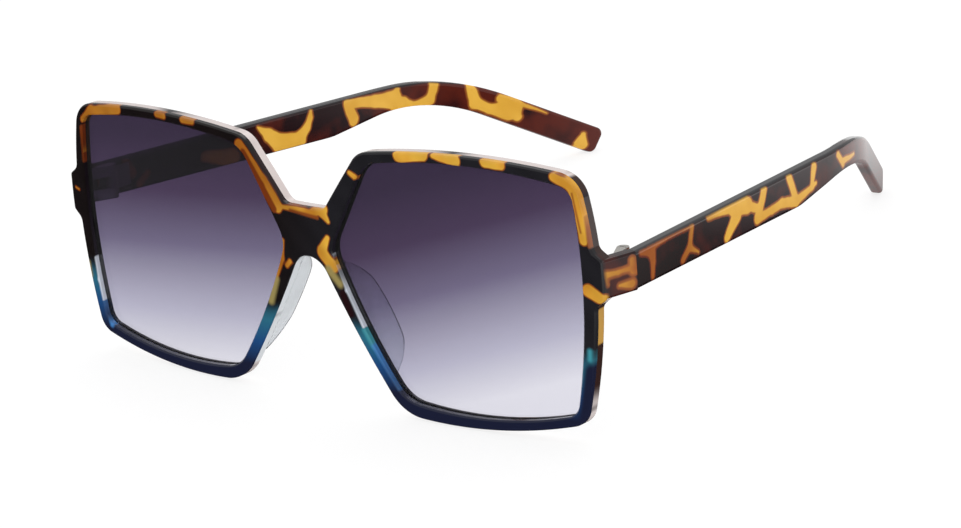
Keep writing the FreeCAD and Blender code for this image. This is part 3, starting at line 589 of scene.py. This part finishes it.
def temple_material(name, look, strokes):
    """Tortoise cellulose acetate: amber in dark maroon sheet, cut, bent and tumbled to a gloss.

    Its colours are dimmed to brown towards the joint, the dark is redder from the bend on, and the edges
    stay black.
    """
    material, tree, shader, place = new_material(
        name, {"IOR": PLASTIC_IOR, "Coat Weight": 0.2, "Coat Roughness": 0.05})
    back = add_node(tree, "ShaderNodeSeparateXYZ", {0: place}).outputs["Y"]
    redder = add_node(tree, "ShaderNodeMapRange",
                      {"Value": back, "From Min": RED_SPAN[0], "From Max": RED_SPAN[1],
                       "To Min": RED_TURNS[0], "To Max": RED_TURNS[1]})
    shade = tortoise_colour(tree, place, look, strokes, "Y", ambers=(look.amber, look.honey),
                            darks=(look.maroon, look.oxblood), fringe=0.4, turn=redder.outputs[0])
    near = add_node(tree, "ShaderNodeMapRange",
                    {"Value": back, "From Min": STAIN_SPAN[0], "From Max": STAIN_SPAN[1]},
                    interpolation_type="SMOOTHSTEP")
    stained = add_node(tree, "ShaderNodeMix", {0: near.outputs[0], 6: shade, 7: opaque(look.stain_and_shade)},
                       data_type="RGBA", blend_type="MULTIPLY")
    edged = paint(tree, stained.outputs[2], place, TEMPLE_EDGE_STROKES, "Y", look.black, fringe=0.3)
    tree.links.new(edged, shader.inputs["Base Color"])
    gloss(tree, shader, place, smooth=0.08, rough=0.16, grain=0.05)
    return material


def upper_front(tree, place, look):
    """The front's amber in black, browned on the left by painted shade and with faint bands, and the lugs'
    amber in maroon.
    """
    front = tortoise_colour(tree, place, look, FRONT_AMBER_STROKES, "X", ambers=(look.deep, look.gold),
                            darks=(look.black, look.black), fringe=0.25)
    for strokes, tint, fringe in FRONT_AMBER_PAINTS:
        front = paint(tree, front, place, strokes, "X", getattr(look, tint), fringe)
    axes = add_node(tree, "ShaderNodeSeparateXYZ", {0: place})
    # Painted shade: the front's amber is browned towards the left
    leftward_shade = add_node(tree, "ShaderNodeMapRange",
                        {"Value": axes.outputs["X"], "From Min": LEFT_SHADE_SPAN[0], "From Max": LEFT_SHADE_SPAN[1],
                         "To Max": LEFT_SHADE_SHARE})
    shaded_left = add_node(tree, "ShaderNodeMix", {0: leftward_shade.outputs[0], 6: front, 7: opaque(look.stain_and_shade)},
                       data_type="RGBA", blend_type="MULTIPLY")
    lug = tortoise_colour(tree, place, look, LUG_AMBER_STROKES, "Y", ambers=(look.brown, look.deep),
                          darks=(look.maroon, look.oxblood), fringe=0.5)
    reach = add_node(tree, "ShaderNodeMath", {0: axes.outputs["X"]}, operation="ABSOLUTE")
    out = add_node(tree, "ShaderNodeMapRange",
                   {"Value": reach.outputs[0], "From Min": LUG_SIDE_SPAN[0], "From Max": LUG_SIDE_SPAN[1]})
    back = add_node(tree, "ShaderNodeMapRange",
                    {"Value": axes.outputs["Y"], "From Min": LUG_BACK_SPAN[0], "From Max": LUG_BACK_SPAN[1]})
    on_lug = add_node(tree, "ShaderNodeMath", {0: out.outputs[0], 1: back.outputs[0]}, operation="MULTIPLY")
    joined = add_node(tree, "ShaderNodeMix", {0: on_lug.outputs[0], 6: shaded_left.outputs[2], 7: lug},
                      data_type="RGBA")
    bands = add_node(tree, "ShaderNodeTexWave",
                     {"Vector": place, "Scale": WAVE_LENGTH / look.band_spacing, "Distortion": 1.5,
                      "Detail": 1.0}, bands_direction="DIAGONAL")
    lined = add_node(tree, "ShaderNodeMix",
                     {0: BAND_SHARE, 6: joined.outputs[2], 7: bands.outputs["Color"]},
                     data_type="RGBA", blend_type="MULTIPLY")
    return lined.outputs[2]


def front_material(look):
    """Laminated cellulose acetate: amber in black above, teal, blue and navy at the foot, maroon lugs, with
    painted shade on the left and painted highlights.
    """
    material, tree, shader, place = new_material("laminated_tortoise_acetate", {"IOR": PLASTIC_IOR})
    upper = upper_front(tree, place, look)
    height = add_node(tree, "ShaderNodeSeparateXYZ", {0: wandering(tree, place, look)}).outputs["Z"]
    fall = add_node(tree, "ShaderNodeMapRange",
                    {"Value": height, "From Min": look.blue_top, "From Max": 0.0})
    lower = add_node(tree, "ShaderNodeValToRGB", {"Fac": fall.outputs[0]},
                     stops=zip(BLUE_SHARES, (look.black, look.teal, look.blue, look.navy)))
    turned = add_node(tree, "ShaderNodeMapRange",
                      {"Value": fall.outputs[0], "From Min": 0.0, "From Max": BLUE_FADE_SHARE},
                      interpolation_type="SMOOTHSTEP")
    shade = add_node(tree, "ShaderNodeMix", {0: turned.outputs[0], 6: upper, 7: lower.outputs[0]},
                     data_type="RGBA").outputs[2]
    # The plastic's colours are laid first, the painted highlights last
    for strokes, tint, fringe in FRONT_PAINTS:
        shade = paint(tree, shade, place, strokes, "X", getattr(look, tint), fringe)
    tree.links.new(shade, shader.inputs["Base Color"])
    gloss(tree, shader, place, smooth=0.06, rough=0.14, grain=0.04)
    return material


def lens_material(side, look, slant, dip):
    """Dip-dyed acrylic sheet: clear, polished, with a faint haze, its violet-grey dye strongest at the top.

    The dye at a point goes by its height plus the dip, less the slant times its distance right of the
    lens's middle. The dip and slant differ between the lenses partly to paint in the reflections each one
    shows.
    """
    material, tree, shader, place = new_material(
        "dip_dyed_acrylic_" + side, {"Roughness": 0.0, "IOR": PLASTIC_IOR, "Transmission Weight": 1.0,
                                     "Sheen Weight": look.haze, "Sheen Roughness": 1.0})
    low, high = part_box("lens_" + side)
    axes = add_node(tree, "ShaderNodeSeparateXYZ", {0: place})
    slanted = add_node(tree, "ShaderNodeMath", {0: axes.outputs["X"], 1: -slant, 2: axes.outputs["Z"]},
                       operation="MULTIPLY_ADD")
    lift = dip + slant * (low.x + high.x) / 2
    rise = add_node(tree, "ShaderNodeMapRange", {"Value": slanted.outputs[0], "From Min": low.z - lift,
                                                 "From Max": high.z - lift})
    tints = (look.foot, look.lower, look.middle, look.upper, look.top)
    ramp = add_node(tree, "ShaderNodeValToRGB", {"Fac": rise.outputs[0]}, stops=zip(DYE_SHARES, tints))
    tree.links.new(ramp.outputs[0], shader.inputs["Base Color"])
    return material


def clear_material(name, tint, cloudy, through, painted=()):
    """Crystal cellulose acetate: nearly clear plastic, faintly cloudy, tinted where strokes are given."""
    material, tree, shader, place = new_material(name, {"IOR": PLASTIC_IOR, "Transmission Weight": through})
    cloud = add_node(tree, "ShaderNodeTexNoise",
                     {"Vector": place, "Scale": 1 / CRYSTAL_CLOUD_SIZE, "Detail": 2.0})
    shade = add_node(tree, "ShaderNodeValToRGB", {"Fac": cloud.outputs["Fac"]},
                     stops=zip(PLAIN_CLOUD, (dimmed(tint, CRYSTAL_CLOUD_SHARE), tint))).outputs[0]
    for strokes, stroke_tint in painted:
        shade = paint(tree, shade, place, strokes, "X", stroke_tint, fringe=0.3)
    tree.links.new(shade, shader.inputs["Base Color"])
    gloss(tree, shader, place, smooth=cloudy * SMOOTH_SHARE, rough=cloudy, grain=0.04)
    return material


def hinge_material(tint):
    """Nickel silver, stamped and barrel polished: a soft warm grey with fine scratches."""
    material, tree, shader, place = new_material("stamped_nickel_silver", {"Metallic": 1.0})
    scratch = add_node(tree, "ShaderNodeMapping",
                       {"Vector": place, "Scale": (1 / SCRATCH_WIDTH, 1 / SCRATCH_WIDTH, 1 / SCRATCH_LENGTH)})
    noise = add_node(tree, "ShaderNodeTexNoise", {"Vector": scratch.outputs[0], "Scale": 1.0, "Detail": 2.0})
    rough = add_node(tree, "ShaderNodeMapRange",
                     {"Value": noise.outputs["Fac"], "To Min": 0.22, "To Max": 0.45})
    ramp = add_node(tree, "ShaderNodeValToRGB", {"Fac": noise.outputs["Fac"]},
                    stops=zip(PLAIN_CLOUD, (dimmed(tint, SCRATCH_SHARE), tint)))
    tree.links.new(ramp.outputs[0], shader.inputs["Base Color"])
    tree.links.new(rough.outputs[0], shader.inputs["Roughness"])
    return material


def finish_nodes(material, *names):
    """Gives CAD nodes one material in place of their own."""
    for name in names:
        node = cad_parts[name]
        node.data.materials.clear()
        node.data.materials.append(material)


def floor_mesh(size, count):
    """A level square grid: x and y run evenly across the floor's width, z is 0."""
    line = np.linspace(-size / 2, size / 2, count)
    x, y = np.meshgrid(line, line)
    points = np.stack([x.ravel(), y.ravel(), np.zeros(x.size)], axis=1)
    corner = (np.arange(count - 1)[:, None] * count + np.arange(count - 1)[None, :]).ravel()
    faces = np.stack([corner, corner + 1, corner + count + 1, corner + count], axis=1)
    mesh = bpy.data.meshes.new("studio_floor")
    mesh.from_pydata(points.tolist(), [], faces.tolist())
    return mesh


def mirrored_rays(tree):
    """1 for a ray that a polished piece reflects, 0 for any other."""
    path = add_node(tree, "ShaderNodeLightPath").outputs
    return add_node(tree, "ShaderNodeMath", {0: path["Is Glossy Ray"], 1: path["Is Transmission Ray"]},
                    operation="SUBTRACT", use_clamp=True).outputs[0]


def paper_material(look):
    """Matt white paper with faint fibres, which glows so that it stays white and its shadows are faint.

    Polished pieces see a painted dark reflection on it, like a dark card, that fades out behind and
    beside them, so that dark plastic and lenses stay dark and only the temple tips shine.
    """
    material, tree, shader, place = new_material(
        "matt_white_paper", {"Roughness": 1.0, "Specular IOR Level": 0.0,
                             "Emission Color": opaque(look.floor), "Emission Strength": look.floor_glow})
    fibre = add_node(tree, "ShaderNodeTexNoise", {"Vector": place, "Scale": 1 / FIBRE_SIZE, "Detail": 2.0})
    lit = dimmed(look.floor, look.floor_shade)
    ramp = add_node(tree, "ShaderNodeValToRGB", {"Fac": fibre.outputs["Fac"]},
                    stops=zip(PLAIN_CLOUD, (dimmed(lit, FIBRE_SHARE), lit)))
    tree.links.new(ramp.outputs[0], shader.inputs["Base Color"])
    axes = add_node(tree, "ShaderNodeSeparateXYZ", {0: place})
    before = add_node(tree, "ShaderNodeMapRange",
                      {"Value": axes.outputs["Y"], "From Min": REFLECTED_CARD_BACK_SPAN[0],
                       "From Max": REFLECTED_CARD_BACK_SPAN[1]})
    beside = add_node(tree, "ShaderNodeMapRange",
                      {"Value": axes.outputs["X"], "From Min": REFLECTED_CARD_SIDE_SPAN[0],
                       "From Max": REFLECTED_CARD_SIDE_SPAN[1]})
    covered = add_node(tree, "ShaderNodeMath", {0: before.outputs[0], 1: beside.outputs[0]},
                       operation="MULTIPLY")
    share = add_node(tree, "ShaderNodeMath", {0: covered.outputs[0], 1: mirrored_rays(tree)},
                     operation="MULTIPLY")
    # Painted reflection: a dark card that only mirrored rays see
    reflected_card = add_node(tree, "ShaderNodeEmission", {"Color": opaque(look.reflected_card), "Strength": 1.0})
    joined = add_node(tree, "ShaderNodeMixShader",
                      {0: share.outputs[0], 1: shader.outputs[0], 2: reflected_card.outputs[0]})
    tree.links.new(joined.outputs[0], tree.nodes["Material Output"].inputs["Surface"])
    return material


def studio_world(look):
    """An even white sky, dimmer where polished pieces reflect it."""
    world = bpy.data.worlds.new("studio")
    world.use_nodes = True
    tree = world.node_tree
    strength = add_node(tree, "ShaderNodeMapRange",
                        {"Value": mirrored_rays(tree), "To Min": look.sky_strength,
                         "To Max": look.sky_strength * look.mirrored_sky})
    background = tree.nodes["Background"]
    background.inputs["Color"].default_value = (1, 1, 1, 1)
    tree.links.new(strength.outputs[0], background.inputs["Strength"])
    return world


def softbox_lamp(look):
    """A broad soft lamp above, a little behind and to the left."""
    lamp = bpy.data.lights.new("softbox", "SUN")
    lamp.energy = look.sun_strength
    lamp.angle = SOFTBOX_SPREAD
    softbox = bpy.data.objects.new("softbox", lamp)
    softbox.rotation_euler = SOFTBOX_TURN
    return softbox


def photo_camera(look):
    """A camera that looks at the target from its azimuth, elevation and distance, tilted by its roll."""
    back = Vector((math.sin(look.azimuth) * math.cos(look.elevation),
                   -math.cos(look.azimuth) * math.cos(look.elevation), math.sin(look.elevation)))
    right = Vector((math.cos(look.azimuth), math.sin(look.azimuth), 0))
    up = back.cross(right)
    across = right * math.cos(look.roll) + up * math.sin(look.roll)
    upward = up * math.cos(look.roll) - right * math.sin(look.roll)
    data = bpy.data.cameras.new("camera")
    data.lens = look.focal
    data.sensor_width = FILM_WIDTH
    data.sensor_fit = "HORIZONTAL"
    data.clip_start = NEAREST_VIEW
    camera = bpy.data.objects.new("camera", data)
    camera.matrix_world = Matrix((across, upward, back)).transposed().to_4x4()
    camera.location = Vector(look.target) + back * look.distance
    return camera


class SUNGLASSES_OT_front(bpy.types.Operator):
    """Finishes the tortoise front layer"""

    bl_idname = "sunglasses.front"
    bl_label = "Front"

    def execute(self, context):
        look = context.scene.sunglasses.tortoise
        finish_nodes(front_material(look), "front_face")
        return {"FINISHED"}


class SUNGLASSES_OT_backing(bpy.types.Operator):
    """Finishes the clear layer behind the front"""

    bl_idname = "sunglasses.backing"
    bl_label = "Backing"

    def execute(self, context):
        look = context.scene.sunglasses.clear
        walls = ring(OPENING_WALL_POINTS, OPENING_WALL_HALF)
        painted = ((both_sides(BACKING_NOSE_STROKES), look.pads), (BACKING_BROWN_STROKES, look.brown),
                   (BACKING_AMBER_STROKES, look.amber), (both_sides(walls), look.wall))
        material = clear_material("crystal_acetate_backing", look.backing, cloudy=0.14, through=0.15,
                                  painted=painted)
        finish_nodes(material, "front_backing")
        return {"FINISHED"}


class SUNGLASSES_OT_lenses(bpy.types.Operator):
    """Tints both lenses"""

    bl_idname = "sunglasses.lenses"
    bl_label = "Lenses"

    def execute(self, context):
        look = context.scene.sunglasses.lens
        # Each lens gets its own slant and dip, which also paint in its reflections
        finish_nodes(lens_material("right", look, look.slant_and_reflection_right, look.dip_and_reflection_right), "lens_right")
        finish_nodes(lens_material("left", look, look.slant_and_reflection_left, look.dip_and_reflection_left), "lens_left")
        return {"FINISHED"}


class SUNGLASSES_OT_nose_pads(bpy.types.Operator):
    """Finishes both nose pads"""

    bl_idname = "sunglasses.nose_pads"
    bl_label = "Nose pads"

    def execute(self, context):
        look = context.scene.sunglasses.clear
        material = clear_material("crystal_acetate_pads", look.pads, cloudy=0.22, through=0.9)
        finish_nodes(material, "nose_pad_right", "nose_pad_left")
        return {"FINISHED"}


class SUNGLASSES_OT_temples(bpy.types.Operator):
    """Finishes both temples, each with its own patches"""

    bl_idname = "sunglasses.temples"
    bl_label = "Temples"

    def execute(self, context):
        look = context.scene.sunglasses.tortoise
        for side, strokes in (("right", RIGHT_TEMPLE_AMBER_STROKES), ("left", LEFT_TEMPLE_AMBER_STROKES)):
            finish_nodes(temple_material("tortoise_acetate_" + side, look, strokes), "temple_" + side)
        return {"FINISHED"}


class SUNGLASSES_OT_hinges(bpy.types.Operator):
    """Finishes the hinge leaves and screws"""

    bl_idname = "sunglasses.hinges"
    bl_label = "Hinges"

    def execute(self, context):
        material = hinge_material(context.scene.sunglasses.clear.metal)
        for side in ("right", "left"):
            finish_nodes(material, "hinge_front_leaf_" + side, "hinge_temple_leaf_" + side,
                         "hinge_screw_" + side)
        return {"FINISHED"}


class SUNGLASSES_OT_stage(bpy.types.Operator):
    """Sets the floor, the light and the camera"""

    bl_idname = "sunglasses.stage"
    bl_label = "Stage"

    def execute(self, context):
        scene = context.scene
        look = scene.sunglasses.stage
        floor = bpy.data.objects.new("studio_floor", floor_mesh(look.floor_size, FLOOR_LINES))
        floor.data.materials.append(paper_material(look))
        camera = photo_camera(look)
        for item in (floor, softbox_lamp(look), camera):
            scene.collection.objects.link(item)
        scene.world = studio_world(look)
        scene.camera = camera
        scene.view_settings.view_transform = "Standard"
        return {"FINISHED"}


class SUNGLASSES_PT_panel(bpy.types.Panel):
    """Lists the sunglasses' steps"""

    bl_idname = "SUNGLASSES_PT_panel"
    bl_label = "Sunglasses"
    bl_space_type = "VIEW_3D"
    bl_region_type = "UI"
    bl_category = "Sunglasses"

    def draw(self, context):
        for step in STEPS:
            self.layout.operator(step.bl_idname)


STEPS = (SUNGLASSES_OT_front, SUNGLASSES_OT_backing, SUNGLASSES_OT_lenses, SUNGLASSES_OT_nose_pads,
         SUNGLASSES_OT_temples, SUNGLASSES_OT_hinges, SUNGLASSES_OT_stage)
CLASSES = (TortoiseLook, LensLook, ClearLook, StageLook, SunglassesLook) + STEPS + (SUNGLASSES_PT_panel,)


def register():
    for item in CLASSES:
        bpy.utils.register_class(item)
    bpy.types.Scene.sunglasses = PointerProperty(type=SunglassesLook)


def unregister():
    del bpy.types.Scene.sunglasses
    for item in reversed(CLASSES):
        bpy.utils.unregister_class(item)


def main():
    register()
    bpy.ops.sunglasses.front()
    bpy.ops.sunglasses.backing()
    bpy.ops.sunglasses.lenses()
    bpy.ops.sunglasses.nose_pads()
    bpy.ops.sunglasses.temples()
    bpy.ops.sunglasses.hinges()
    bpy.ops.sunglasses.stage()


if __name__ == "__main__":
    main()
